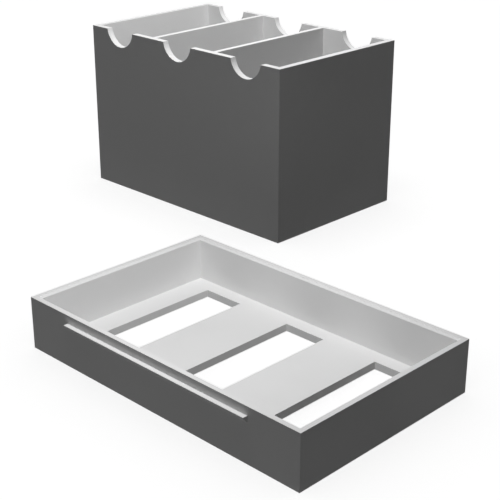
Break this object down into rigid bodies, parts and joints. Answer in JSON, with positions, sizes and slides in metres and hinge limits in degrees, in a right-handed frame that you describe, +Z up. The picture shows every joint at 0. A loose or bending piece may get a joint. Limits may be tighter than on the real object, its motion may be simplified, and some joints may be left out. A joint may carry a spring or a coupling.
{
  "type": "battery storage case",
  "caption": "Open box with upright compartments and half-round finger notches, and a slip-over lid with long windows and a finger ledge, taken off and laid beside it.",
  "frame": {"origin": "middle of the box's underside", "axes": "+X along the row of compartments, +Y from the box's front to its back, +Z up; the lid lies on the side of +X and -Y with its ledge towards -Y"},
  "size_m": [0.1726, 0.1414, 0.052],
  "materials": {
    "grey_plastic": "matte printed plastic, light grey, fine layer lines"
  },
  "bodies": {
    "box": {"battery_box": "grey_plastic"},
    "lid": {"lid": "grey_plastic"}
  },
  "joints": [
    {"name": "lid_lift", "type": "slide", "parent": "box", "child": "lid", "axis": [0, 0, 1], "range_m": [0, 0.06]}
  ]
}
